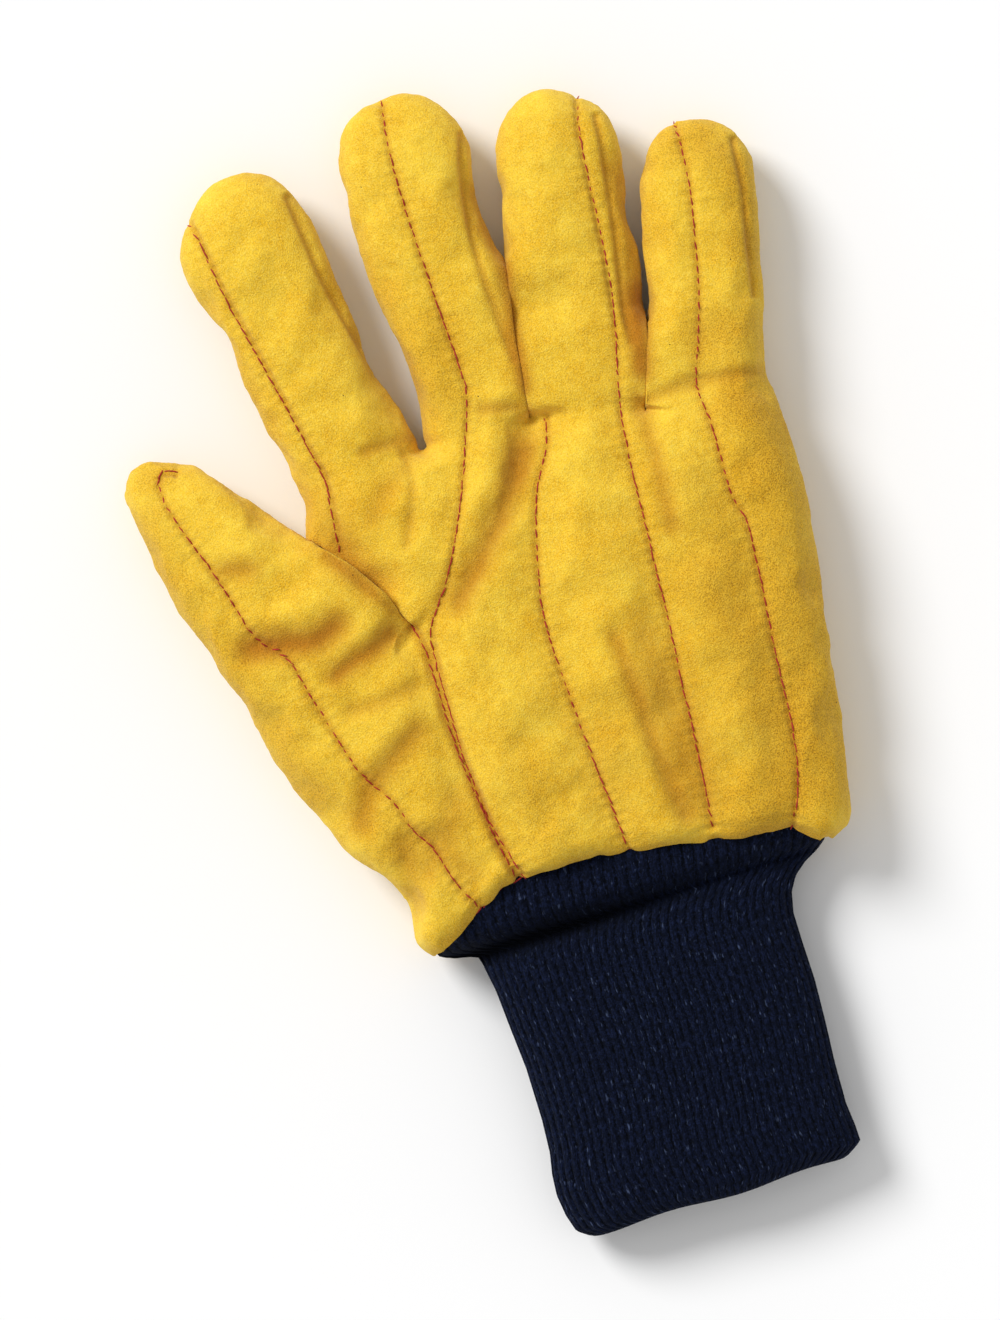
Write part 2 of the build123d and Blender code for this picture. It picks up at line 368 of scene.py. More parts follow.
quilting = {
    "index": [
        (-50, 123), (-48.5, 117), (-46, 100), (-41, 77), (-37.5, 60), (-36.5, 54), (-37, 47), (-38.2, 35.6),
    ],
    "middle": [
        (3, 137), (1.3, 125), (1, 105), (1.7, 85), (2.3, 70), (1.8, 63), (-2, 52), (-8, 37), (-15, 23.5),
        (-22.3, 13), (-23.6, 7), (-24, -8), (-24, -20), (-22.6, -35), (-18.7, -51),
    ],
    "ring_side": [
        (18.2, 53), (17.8, 50.5), (16.5, 46), (11, 36), (6.4, 20), (4.1, 7), (4.2, -8), (5.5, -30),
        (7.3, -53),
    ],
    "ring": [
        (48.5, 125), (46, 115), (44.5, 98), (42.5, 78), (40, 66), (36.6, 52), (34.6, 37), (33.5, 20),
        (32.3, 0), (31.1, -16), (29.5, -37), (27.8, -53),
    ],
    "little": [
        (68.7, 112), (68, 100), (66, 88), (62.5, 72), (57.6, 57), (55.1, 50), (55.7, 40), (55.4, 22),
        (57, 16), (56.4, 4), (54.6, -15), (52.7, -38), (50.2, -49), (45.6, -59),
    ],
    "thumb": [
        (-69.8, 66.3), (-73, 67.5), (-75, 65), (-74.4, 59), (-71, 48), (-67, 36), (-63.6, 23.5),
        (-57.5, 16), (-55, 7), (-51, -8), (-48, -17), (-43.4, -24), (-40.8, -32), (-37.2, -38),
        (-34.6, -47), (-29.5, -57),
    ],
}
thumb_seam = [
    (-26.8, 14.6), (-26.2, 12.5), (-25.4, 8), (-25.2, 2), (-25.1, -15), (-24, -28), (-22, -42), (-20, -52),
]


def smooth_line(corners, step=1.5):
    """Points about every step along the smooth curve through a few corners."""
    corners = np.array(corners, dtype=float)
    ends = np.vstack([2 * corners[0] - corners[1], corners, 2 * corners[-1] - corners[-2]])
    line = []
    for before, start, end, after in zip(ends[:-3], ends[1:-2], ends[2:-1], ends[3:]):
        count = max(2, round(np.hypot(*(end - start)) / step))
        for share in np.arange(count) / count:
            bend = 2 * before - 5 * start + 4 * end - after
            twist = 3 * start - before - 3 * end + after
            line.append(start + share * ((end - before) + share * (bend + share * twist)) / 2)
    return np.array(line + [corners[-1]])


# ============================== puffing up
# The joined skin is cloth, held at its rows of quilting, at the crotches and at the wrist, and puffed up
# from inside. Its points then slide and rise only as far as a quilted cloth would let them.

row_hold, crotch_hold = 2.2, 6
held_below_y = -62
slide_limit, sink_limit, puff_limit = 0.9, 2.2, 2.6
settling_frames = 20


def mark(piece, name, amounts, least):
    """A vertex group with each point's amount, where that is more than the least."""
    group = piece.vertex_groups.new(name=name)
    for number in np.flatnonzero(amounts > least):
        group.add([int(number)], float(amounts[number]), "REPLACE")


points = points_of(skin)
held = np.zeros(len(points))
for row in quilting.values():
    held = np.maximum(held, np.exp(-((near_line(points, smooth_line(row, 4)).far / row_hold) ** 2)))
held = np.where(points[:, 1] < held_below_y, 1, held)
for gap in gaps.values():
    held = np.maximum(held, np.exp(-((from_crotch(points, gap) / crotch_hold) ** 2)))
mark(skin, "held", held, 0.05)

cloth = skin.modifiers.new("cloth", "CLOTH")
cloth.settings.quality = 5
cloth.settings.mass = 0.3
cloth.settings.tension_stiffness = 12
cloth.settings.compression_stiffness = 12
cloth.settings.shear_stiffness = 5
cloth.settings.bending_stiffness = 3
cloth.settings.use_pressure = True
cloth.settings.uniform_pressure_force = 4
cloth.settings.shrink_min = -0.02
cloth.settings.vertex_group_mass = "held"
cloth.settings.effector_weights.gravity = 0
cloth.collision_settings.use_collision = False
for number in range(settling_frames):
    scene.frame_set(1 + number)
puffed = skin.evaluated_get(bpy.context.evaluated_depsgraph_get())
move = read(puffed.data.vertices, "co") / mm - points
skin.modifiers.remove(cloth)
scene.frame_set(1)
slid = np.hypot(move[:, 0], move[:, 1])
move[:, :2] *= np.minimum(1, slide_limit / np.maximum(slid, 1e-6))[:, None]
move[:, 2] = np.clip(move[:, 2], -sink_limit, puff_limit)
put_points(skin, points + move)

use_modifier(skin, "SMOOTH", factor=0.5, iterations=2)
use_modifier(skin, "SUBSURF", levels=2, render_levels=2)

# ============================== bodies
# The skin is one cloth, but it bends at the knuckles, at the middle of each finger, along the seam of the
# thumb, and at the thumb's own knuckle. Each face is told which moving body it belongs to.

wrist_cut = -58.0
bpy.ops.object.mode_set(mode="EDIT")
bpy.ops.mesh.select_all(action="SELECT")
bpy.ops.mesh.bisect(plane_co=(0, wrist_cut * mm, 0), plane_no=(0, 1, 0), clear_inner=True)
bpy.ops.object.mode_set(mode="OBJECT")

joints = {joint["name"]: joint for joint in frame["joints"]}
bodies = ["hand", "thumb", "thumb_tip"]
for name in fingers:
    bodies += [name + "_lower", name + "_upper"]
knuckle_cut, bend_cut = -6.0, -9.0
thumb_edge = thumb_seam[:0:-1] + thumb_gap.line


def past_joint(points, name):
    """How far each point lies past a bend line, towards the fingertip, in millimetres."""
    place = np.array(joints[name]["pos_m"][:2]) / mm
    axis = joints[name]["axis"]
    return (points[:, :2] - place) @ np.array([-axis[1], axis[0]])


def is_thumb(points):
    return near_line(points, thumb_edge).side < 0


def bodies_of(points):
    """The number in bodies that each point belongs to."""
    thumbs = is_thumb(points)
    past_gap = [near_line(points, gap.line).side > 0 for gap in finger_gaps] + [np.full(len(points), False)]
    number = np.zeros(len(points), dtype=int)
    reached = np.full(len(points), True)
    for name, past in zip(fingers, past_gap):
        here = reached & ~past & ~thumbs
        number[here & (past_joint(points, name + "_knuckle") > knuckle_cut)] = bodies.index(name + "_lower")
        number[here & (past_joint(points, name + "_mid_bend") > bend_cut)] = bodies.index(name + "_upper")
        reached = reached & past
    number[thumbs] = bodies.index("thumb")
    number[thumbs & (past_joint(points, "thumb_tip_bend") > bend_cut)] = bodies.index("thumb_tip")
    return number


face_bodies = bodies_of(read(skin.data.polygons, "center").astype(float) / mm)
points = points_of(skin)
on_thumb = is_thumb(points)

# ============================== gaps closed
# The walls of each gap go back together. Small folds are left in the cloth beside them, so those are
# smoothed and the walls close once more. Where walls press on each other, and at the crotches, the cloth
# stays flat. The rest of it is loose.

middle_height = 11.0
wall_from, wall_to = 5, 17
wall_round = 2.2
wall_stops = 1.5
touch_ramp = 13
widest_hold = 8
crotch_round = 4.5


def close_gap(points, gap, held):
    """Moves the walls of a gap together by what it was held open, and presses them flat where they touch."""
    near = near_line(points, gap.line, beyond=True)
    opened = soft_step(near.along / gap_ramp + 1)
    hold = held * opened
    stops = np.arange(-12, gap.touching + 22, wall_stops)
    rounded = wall_round * soft_step((abs(points[:, 2] - middle_height) - 1.5) / 7)
    in_wall = (points[:, 2] > wall_from) & (points[:, 2] < wall_to) & (near.far < gap_reach)
    touch = soft_step((gap.touching - near.along) / touch_ramp + 1) if gap.touching else 0
    # Where walls are to touch, each goes in by its own distance from the line, found stop by stop.
    for side in (-1, 1):
        here = in_wall & (near.side == side)
        wall = []
        for stop in stops:
            beside = here & (near.along > stop + 0.5) & (near.along < stop + 3.5)
            wall.append(near.far[beside].min(initial=gap_reach))
        wall = np.where(np.array(wall) < gap_reach, wall, 0)
        until_wall = opened * (np.interp(near.along, stops, wall) + 0.9 + rounded)
        hold = np.where(near.side == side, hold + touch * (until_wall - hold), hold)
    hold = np.clip(hold, 0, widest_hold)
    slack = (0.04 - 0.05 * touch) * np.minimum(near.far, hold)
    moved_in = np.clip(near.far - hold, 0, None) / (1 - hold / gap_reach)
    wanted = slack + moved_in * (1 - 0.04 * hold / gap_reach)
    return push_across(points, gap, np.where(near.far < gap_reach, wanted - near.far, 0) * near.side)


for gap in gaps.values():
    points = close_gap(points, gap, gap.held)
put_points(skin, points)

folds, pressed_flat = np.zeros(len(points)), np.zeros(len(points))
for gap in gaps.values():
    near = near_line(points, gap.line)
    crotch = np.exp(-((from_crotch(points, gap) / crotch_round) ** 2))
    touching = soft_step((gap.touching + 6 - near.along) / 6)
    folds = np.maximum(folds, np.maximum(crotch, 0.15 * touching * np.exp(-((near.far / 2.0) ** 2))))
    pressed_flat = np.maximum(pressed_flat, np.maximum(crotch, touching * np.exp(-((near.far / 3.5) ** 2))))
mark(skin, "folds", folds, 0.02)
mark(skin, "loose", 1 - pressed_flat, 0)
use_modifier(skin, "SMOOTH", factor=0.5, iterations=50, vertex_group="folds")
points = points_of(skin)
for gap in gaps.values():
    points = close_gap(points, gap, 0)

# ============================== lie of the thumb and the wrist edge
# The thumb leans over the edge of the palm. At the wrist the fleece ends in a soft rolled edge, which runs
# higher in the middle of the palm than at its sides.

lean_reach, lean_shift = 14, 2.0
thumb_rise, palm_sink = 2.6, -2.4
near = near_line(points, thumb_gap.line[:-1])
leaning = soft_step(1 - near.far / lean_reach) * soft_step(near.along / 10)
leaning *= soft_step((near.length + 4 - near.along) / 16)
tilt = np.clip((points[:, 2] - middle_height) / 8, -1, 1)
across = np.array([25.0, 17.0]) / hypot(17, 25)
points[:, :2] += (leaning * tilt * lean_shift)[:, None] * across
high = soft_step((points[:, 2] - 4) / 14)
points[:, 2] += np.where(on_thumb, thumb_rise, palm_sink) * leaning * high

wrist_edge = [
    (-49, -62.8), (-44, -62.5), (-38, -60), (-30, -56), (-24, -52.6), (-10, -52), (0, -52), (15, -54),
    (35, -57.5), (45, -59), (52, -64), (60, -65),
]
back_edge_y = -62.0
pulled_from_y = -34
roll_width, roll_depth = 6, 3.2
floor_softness = 0.8
front_edge = np.interp(points[:, 0], *np.array(wrist_edge).T)
front = soft_step((points[:, 2] - 5) / 10)
edge = front_edge * front + back_edge_y * (1 - front)
pulled = soft_step((pulled_from_y - points[:, 1]) / (pulled_from_y - wrist_cut))
points[:, 1] += (edge - wrist_cut) * pulled
above_edge = points[:, 1] - edge
put_points(skin, points)


def normals_of(piece):
    return read(piece.data.vertices, "normal").astype(float)


roll = np.clip(1 - above_edge / roll_width, 0, 1) ** 2
points -= normals_of(skin) * (roll * roll_depth)[:, None]
points[:, 1] = np.maximum(points[:, 1], edge)
settled = floor_softness * np.exp((points[:, 2] - floor_softness) / floor_softness)
points[:, 2] = np.where(points[:, 2] < floor_softness, settled, points[:, 2])
put_points(skin, points)

# ============================== creases
# Fleece is thick, so it waves and creases in soft rolls, and shade is painted into their hollows. Broad
# patches are painted darker where light falls off over the rounded palm and fingers. The side seams and the
# quilting are sunk in too, with painted shade along them.

use_modifier(skin, "SMOOTH", factor=0.3, iterations=1)
for name, size, strength in (("broad_waves", 15, 1.3), ("small_waves", 5, 0.35), ("nap", 1.9, 0.3)):
    waves = bpy.data.textures.new(name, "CLOUDS")
    waves.noise_scale = size * mm
    how = {"texture_coords": "LOCAL", "mid_level": 0.5, "strength": strength * mm, "vertex_group": "loose"}
    use_modifier(skin, "DISPLACE", texture=waves, **how)

# A crease is a line on the palm, its depth (a ridge where negative, only painted shade where zero), its half
# width, and how much shade is painted along it. A patch of painted dimming is a line, its half width, and
# how much darker it is painted.
creases = [
    ([(12.6, 51), (9.4, 45), (5.2, 38), (-2, 30), (-10, 21.5), (-17, 15)], 2.6, 3.8, 0.72),
    ([(13, 52), (11, 48), (6, 39.5)], 0.5, 3.2, 0.45),
    ([(9, 62), (3.5, 50), (-1.5, 41), (-9, 32), (-16, 25)], -1.0, 3.0, 0),
    ([(-69, 21), (-58, 19.5), (-50, 18), (-41, 21)], 1.6, 3.8, 0.95),
    ([(-66, 27), (-55, 26), (-44, 26)], -0.7, 3.8, 0),
    ([(-50, 7.5), (-42, 10.5), (-36, 12), (-29, 15.5)], 1.7, 2.9, 0.85),
    ([(-46, 15), (-38, 16.5), (-32, 19)], -0.4, 2.2, 0),
    ([(-54, -30), (-48, -20), (-43, -16.5), (-38, -13), (-30, -8)], 1.3, 3.4, 0.6),
    ([(-50, -18), (-43, -11), (-36, -6)], -0.6, 3.2, 0),
    ([(-48, -1), (-38, -0.5), (-28, 1)], 0.9, 2.2, 0.35),
    ([(-46, -52), (-44.5, -42), (-43, -32)], 1.4, 3.8, 0.45),
    ([(-41, -46), (-36, -34)], 0.6, 2.8, 0.35),
    ([(18.5, 0), (20, -20), (21, -35), (23, -50)], 1.1, 2.3, 0.5),
    ([(25.5, 2), (26, -25), (26.5, -50)], 0.4, 5.5, 0.4),
    ([(41, 53), (40.5, 40), (40, 30), (39, 17)], 0.9, 2.5, 0.5),
    ([(-30, 40), (-18, 52)], 0.8, 2.8, 0.35),
    ([(-40, 38), (-35, 29), (-31, 24)], 0.4, 4.0, 0.6),
    ([(-10, 57), (-17, 57.8), (-27, 57.3)], 0.8, 1.8, 0.5),
    ([(16, 56), (11, 57.5), (3, 59.5)], 0.8, 1.8, 0.5),
    ([(40, 50), (55, 50.5), (65, 49.2), (74, 48)], 0.9, 1.8, 0.4),
    ([(-68, 41), (-57, 38)], 0.6, 2.8, 0.55),
    ([(-41, 33), (-40, 46), (-42, 58)], 0.2, 6.5, 0.25),
    ([(-27, -25), (-34, -38), (-29, -49)], 0.8, 4.2, 0.4),
    ([(-16, 57), (-16.5, 48), (-19, 40), (-23, 32)], 0.6, 1.4, 0.3),
    # Lines of depth 0 only paint shade: on finger walls turned from the light, beside the slits, along the
    # thumb's edge and over parts of the palm.
    ([(17.8, 112), (18.6, 92), (17.2, 78), (15.6, 60)], 0, 2.6, 0.52),
    ([(20.3, 92), (16.8, 72), (15.4, 59)], 0, 1.5, 0.65),
    ([(53, 108), (50.5, 92), (48, 80), (45.2, 62)], 0, 2.8, 0.48),
    ([(48.6, 78), (45.6, 66), (43, 54)], 0, 3.0, 0.95),
    ([(-29, 18), (-34, 26), (-42, 38)], 0, 1.4, 0.55),
    ([(29, -12), (30, -30), (29, -48)], 0, 8.0, 0.2),
    ([(2, -10), (10, -30), (14, -48)], 0, 11.0, 0.1),
    ([(-40, 38), (-36, 48)], 0, 7.0, 0.25),
    ([(-21, 104), (-20, 92), (-17, 78)], 0, 2.4, 0.1),
]
# Painted shade: these patches darken the fleece where light falls off over the rounded palm and fingers.
painted_dimming_patches = [
    ([(62, 46), (68, 36), (63, 24)], 8.0, 0.9),
    ([(58, 62), (72, 57)], 7.5, 0.7),
    ([(60, 104), (70, 108), (76, 100)], 5.0, 0.45),
    ([(58, -55), (60, -25), (63, 0), (67, 22)], 11.0, 0.75),
    ([(46, 32), (48, 12), (46, -8)], 6.0, 0.35),
    ([(36, -58), (47, -42), (48, -15), (44, 10)], 9.0, 0.7),
    ([(6, -40), (12, -26), (20, -14)], 7.5, 0.3),
    ([(-14, -18), (-9, -44)], 6.5, 0.3),
    ([(-6, 60), (0, 84)], 6.5, 0.45),
    ([(72, 108), (79, 96), (76, 76)], 5.5, 0.6),
    ([(-51, 92), (-47, 70)], 4.0, 0.35),
    ([(-6, 94), (-10, 84), (-9, 66)], 4.0, 0.35),
    ([(-47, -38), (-43, -28)], 6.0, 0.4),
    ([(-82, 60), (-79, 38), (-70, 10), (-60, -20)], 6.0, 0.55),
    ([(-80, 66), (-70, 68)], 4.0, 0.35),
    ([(22, 100), (20.5, 84)], 3.0, 0.3),
]
side_seams = [
    [(-25, 122), (-24, 112), (-22.6, 100), (-20, 88), (-17, 75)],
    [(19.3, 124), (17, 116), (15, 104), (14.1, 92), (14.5, 80), (15.4, 68)],
    [(51.5, 119), (50.4, 108), (48, 92), (45.5, 78), (43.4, 64)],
    [(81, 104), (79.8, 92), (77.5, 80), (75, 66)],
]
row_pitch = 2.6
pucker_width = 2.6
stitched_in = [(0.7, 0.8, 0.4), (0.8, 5.0, 0.06)]
points = points_of(skin)
normals = normals_of(skin)
facing = soft_step((normals[:, 2] + 0.15) / 0.4) * (points[:, 2] > 6)
backing = soft_step((-normals[:, 2] + 0.15) / 0.4) * (points[:, 2] < 14)
dip = np.zeros(len(points))
hollow = np.zeros(len(points))
brushed = np.zeros(len(points))


def press(line, rolls, where, pucker=0.0, shading=hollow, taper=1.0):
    """Presses a line into the skin in rolls, each a depth, a half width and how much shade is painted along
    it.
    """
    line = smooth_line(line)
    reach = 2.4 * max(width for depth, width, shade in rolls)
    inside = (points[:, :2] > line.min(0) - reach).all(1) & (points[:, :2] < line.max(0) + reach).all(1)
    here = np.flatnonzero(inside & (where > 0))
    near = near_line(points[here], line)
    for depth, width, shade in rolls:
        before, after = near.along / width / taper, (near.length - near.along) / width / taper
        ends = soft_step(before + 1 / taper) * soft_step(after + 1 / taper)
        shape = np.exp(-((near.far / width) ** 2)) * ends * where[here]
        dip[here] += depth * shape
        shading[here] = 1 - (1 - shading[here]) * (1 - shade * shape)
    if pucker:
        pulled = np.cos(2 * pi * near.along / row_pitch) * np.exp(-((near.far / pucker_width) ** 2)) * ends
        dip[here] += pucker * pulled * where[here]


# Painted shade goes into the grooves of the rows, the thumb seam and the side seams.
for row in quilting.values():
    press(row, stitched_in, facing, pucker=0.14)
    press(row, stitched_in, backing, pucker=0.14)
press(thumb_seam, [(1.3, 1.0, 0.6)], facing, pucker=0.1)
for line, depth, width, shade in creases:
    press(line, [(depth, width, shade)], facing, taper=2.2)
for line in side_seams:
    press(line, [(0.9, 1.0, 0.5)], facing)
for line, width, shade in painted_dimming_patches:
    press(line, [(0, width, shade)], facing, shading=brushed, taper=1.5)
dip *= 1 - pressed_flat
points -= normals * dip[:, None]
points[:, 2] = np.maximum(points[:, 2], 0)
put_points(skin, points)
# Painted shade: the fleece is painted darker over the last 3 mm before the rolled wrist edge.
hollow = 1 - (1 - hollow) * (1 - 0.3 * np.clip(1 - above_edge / 3, 0, 1))


def keep(piece, name, values):
    """Keeps a number or a direction for each point on its mesh."""
    if values.ndim == 1:
        kind, field = "FLOAT", "value"
    else:
        kind, field = "FLOAT_VECTOR", "vector"
    kept = piece.data.attributes.new(name, kind, "POINT")
    kept.data.foreach_set(field, values.astype(np.float32).ravel())


keep(skin, "hollow", hollow)
keep(skin, "brushed", brushed)
keep(skin, "outward", normals_of(skin))
skin_shape = BVHTree.FromObject(skin, bpy.context.evaluated_depsgraph_get())

# ============================== fleece and lining
# Yellow cotton fleece, napped on the outside: a felt of short fibres, mottled, with pale and dark fibres.
# Shade is painted in, browner in its creases and seams, and darker in broad patches where light falls off.
# A cream flannel lining backs it, but where the walls of a gap meet there is room for the fleece only.

cloth_thickness, thinnest = 3.3, 0.4
fleece_only_below = 2.4
lining_side = skin.copy()
lining_side.data = skin.data.copy()
scene.collection.objects.link(lining_side)
use_modifier(lining_side, "SMOOTH", factor=0.5, iterations=25)
clear = np.ones(len(points))
for gap in gaps.values():
    clear = np.minimum(clear, soft_step(near_line(points, gap.line).far / 7 - 0.15))
clear = clear[:, None]
normals = normals_of(skin)
inner_normals = normals + clear * (normals_of(lining_side) - normals)
thick = thinnest + clear * (cloth_thickness - thinnest)
inner = points + clear * (points_of(lining_side) - points) - inner_normals * thick
shallow = ((inner - points) * normals).sum(1)[:, None] + 0.3 * thick
inner -= normals * np.maximum(shallow, 0)
inner[:, 2] = np.maximum(inner[:, 2], 0.3)
bpy.data.objects.remove(lining_side)
keep(skin, "inside", inner * mm)


class Wire:
    """A number in a material, worked with as in arithmetic."""

    def __init__(self, tree, socket):
        self.tree, self.socket = tree, socket

    def math(self, operation, *others, first=None):
        node = self.tree.nodes.new("ShaderNodeMath")
        node.operation = operation
        for place, value in enumerate([self, *others] if first is None else [first, self, *others]):
            if isinstance(value, Wire):
                self.tree.links.new(value.socket, node.inputs[place])
            else:
                node.inputs[place].default_value = value
        return Wire(self.tree, node.outputs[0])

    def __add__(self, other):
        return self.math("ADD", other)

    def __sub__(self, other):
        return self.math("SUBTRACT", other)

    def __rsub__(self, other):
        return self.math("SUBTRACT", first=other)

    def __mul__(self, other):
        return self.math("MULTIPLY", other)

    __radd__, __rmul__ = __add__, __mul__


class Finish:
    """A material under construction."""

    def __init__(self, name):
        self.material = bpy.data.materials.new(name)
        self.material.use_nodes = True
        self.tree = self.material.node_tree
        self.shader = self.tree.nodes["Principled BSDF"]

    def node(self, kind, sockets=None, out=0, **settings):
        """A node of a kind, with its settings and the values or wires of its sockets."""
        node = self.tree.nodes.new("ShaderNode" + kind)
        for setting, value in settings.items():
            setattr(node, setting, value)
        for socket, value in (sockets or {}).items():
            self.feed(node.inputs[socket], value)
        return Wire(self.tree, node.outputs[out])

    def feed(self, socket, value):
        if isinstance(value, Wire):
            self.tree.links.new(value.socket, socket)
        else:
            socket.default_value = value

    def set(self, **values):
        for socket, value in values.items():
            self.feed(self.shader.inputs[socket.replace("_", " ")], value)

    def mix(self, first, second, share):
        return self.node("Mix", {0: share, 6: first, 7: second}, out=2, data_type="RGBA")

    def noise(self, where, scale, detail=2.0, roughness=0.5):
        sockets = {"Vector": where, "Scale": scale, "Detail": detail, "Roughness": roughness}
        return self.node("TexNoise", sockets)

    def stretched(self, where, scale):
        return self.node("Mapping", {"Vector": where, "Scale": scale})

    def spread(self, value, low, high):
        """From 0 to 1 as a value goes from low to high."""
        return self.node("MapRange", {0: value, 1: low, 2: high})

    def bump(self, height, strength, distance):
        return self.node("Bump", {"Height": height, "Strength": strength, "Distance": distance * mm})


def dye(red, green, blue):
    """A colour as it is seen, each part out of 255."""
    parts = [part / 255 for part in (red, green, blue)]
    return (*[part / 12.92 if part < 0.04045 else ((part + 0.055) / 1.055) ** 2.4 for part in parts], 1.0)


def make_fleece():
    cloth = Finish("yellow_fleece")
    where = cloth.node("TexCoord", out=3)
    patches = cloth.noise(where, 75, 4, 0.6)
    mottle = cloth.noise(cloth.stretched(where, (1, 0.75, 1)), 420, 4, 0.7)
    fibre = cloth.noise(where, 2600, 2, 0.6)
    tufts = cloth.noise(cloth.stretched(where, (1, 0.8, 1)), 3300, 2, 0.6)
    specks = cloth.noise(where, 620, 1)
    painted_shade_amount = cloth.node("Attribute", out=2, attribute_name="hollow")
    painted_dimming_amount = cloth.node("Attribute", out=2, attribute_name="brushed")
    nap = cloth.spread(mottle, 0.34, 0.66)
    tone = cloth.spread(patches, 0.34, 0.66)
    pale = cloth.spread(fibre, 0.46, 0.66)
    dark = cloth.spread(tufts, 0.44, 0.66)
    # Random tone and nap, with both kinds of painted shade, thin the pale fibres and thicken the dark ones.
    tone_and_painted_shade = (1 - tone) * 0.25 + (1 - nap) * 0.2 + painted_dimming_amount * 0.6 + painted_shade_amount * 0.3
    colour = cloth.mix(dye(236, 182, 32), dye(251, 211, 62), tone * 0.6 + nap * 0.4)
    colour = cloth.mix(colour, dye(255, 230, 112), pale * (0.46 - tone_and_painted_shade * 0.3))
    # Painted shade: browner in the dimmed patches, then in creases, seams and slits.
    colour = cloth.mix(colour, dye(196, 136, 26), painted_dimming_amount * 0.55)
    colour = cloth.mix(colour, dye(168, 88, 16), painted_shade_amount * 0.82)
    colour = cloth.mix(colour, dye(132, 88, 16), dark * (0.16 + tone_and_painted_shade * 0.7))
    colour = cloth.mix(colour, dye(84, 58, 30), cloth.spread(specks, 0.82, 0.84))
    cloth.set(Base_Color=colour, Roughness=0.95, Specular_IOR_Level=0.1)
    cloth.set(Sheen_Weight=0.22, Sheen_Roughness=0.5, Sheen_Tint=dye(240, 235, 190))
    cloth.set(Normal=cloth.bump(mottle * 0.35 + fibre * 0.9 + tufts * 0.5, 0.5, 0.9))
    return cloth.material


def make_lining():
    cloth = Finish("cream_flannel")
    weave = cloth.noise(cloth.node("TexCoord", out=3), 1400, 3, 0.6)
    cloth.set(Base_Color=cloth.mix(dye(215, 196, 146), dye(238, 224, 182), weave), Roughness=0.95)
    cloth.set(Normal=cloth.bump(weave, 0.4, 0.4))
    return cloth.material


fleece, flannel = make_fleece(), make_lining()
skin.data.materials.clear()
for body in bodies:
    skin.data.materials.append(bpy.data.materials.new("cut_" + body))
skin.data.polygons.foreach_set("material_index", face_bodies.astype(np.int32))
skin.data.update()
select_only(skin)
bpy.ops.object.mode_set(mode="EDIT")
bpy.ops.mesh.select_all(action="SELECT")
bpy.ops.mesh.separate(type="MATERIAL")
bpy.ops.object.mode_set(mode="OBJECT")
panels = {piece.data.materials[0].name.removeprefix("cut_"): piece for piece in bpy.context.selected_objects}

# How far before and past its joint's line each kind of piece would turn. The heel of the thumb is broad, so
# its span is wide and runs across it. bend_with reads these values, but turns no piece.
turns_over = {"lower": (-5.0, 11.0), "upper": (-8.0, 8.0), "tip": (-8.0, 8.0), "thumb": (10.0, 30.0)}
over_thumb_heel = Vector((-0.97, 0.24, 0))
joint_before = {joint["child"]: joint for joint in frame["joints"]}


def bend_with(piece, body):
    """Attaches a piece of the hand to the hand's body; any other piece only has its transform baked into its
    mesh.
    """
    if body == "hand":
        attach(piece, body)
        return
    joint = joint_before[body]
    place, axis = Vector(joint["pos_m"]), Vector(joint["axis"])
    onward = over_thumb_heel if body == "thumb" else Vector((-axis.y, axis.x, 0))
    start, end = turns_over[body.split("_")[-1]]
    place + onward * start * mm
    place + onward * end * mm
    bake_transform(piece)


def set_faces(mesh, outward, thin):
    """Leaves fleece on both faces where the cloth is thin, and keeps the skin's smooth look over the cuts."""
    corners = read(mesh.loops, "vertex_index", 1, np.int32).ravel()
    starts = read(mesh.polygons, "loop_start", 1, np.int32).ravel()
    counts = np.diff(np.append(starts, len(corners)))
    thin_faces = np.add.reduceat(thin[corners % len(outward)].astype(int), starts) > 0
    lined = read(mesh.polygons, "material_index", 1, np.int32).ravel()
    mesh.polygons.foreach_set("material_index", np.where(thin_faces, 0, lined).astype(np.int32))
    inner_share = np.add.reduceat((corners >= len(outward)).astype(int), starts) / counts
    on_rim = np.repeat((inner_share > 0) & (inner_share < 1), counts)
    rim_normals = np.repeat(read(mesh.polygons, "normal"), counts, axis=0)
    skin_normals = np.vstack([outward, -outward])[corners]
    mesh.normals_split_custom_set(np.where(on_rim[:, None], rim_normals, skin_normals))


for body, panel in panels.items():
    mesh = panel.data
    panel.name = body + "_fleece"
    mesh.name = panel.name
    outward = read(mesh.attributes["outward"].data, "vector")
    inner = read(mesh.attributes["inside"].data, "vector") / mm
    mesh.materials.clear()
    mesh.materials.append(fleece)
    mesh.materials.append(flannel)
    mesh.polygons.foreach_set("material_index", np.zeros(len(mesh.polygons), dtype=np.int32))
    walls = {"thickness": cloth_thickness * mm, "offset": -1, "material_offset": 1, "material_offset_rim": 1}
    use_modifier(panel, "SOLIDIFY", **walls)
    outer = points_of(panel)[:len(outward)]
    put_points(panel, np.vstack([outer, inner]))
    mesh = panel.data
    mesh.attributes.remove(mesh.attributes["inside"])
    mesh.attributes.remove(mesh.attributes["outward"])
    bpy.ops.object.shade_smooth()
    set_faces(mesh, outward, np.linalg.norm(outer - inner, axis=1) < fleece_only_below)
    bend_with(panel, body)
    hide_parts(body + "_front_panel", body + "_back_panel", body + "_lining")

# ============================== stitches
# Red cotton thread. Each stitch is a short raised strand that dips into the fleece at both ends. One is
# made, and copied along every row, on the front and on the back.

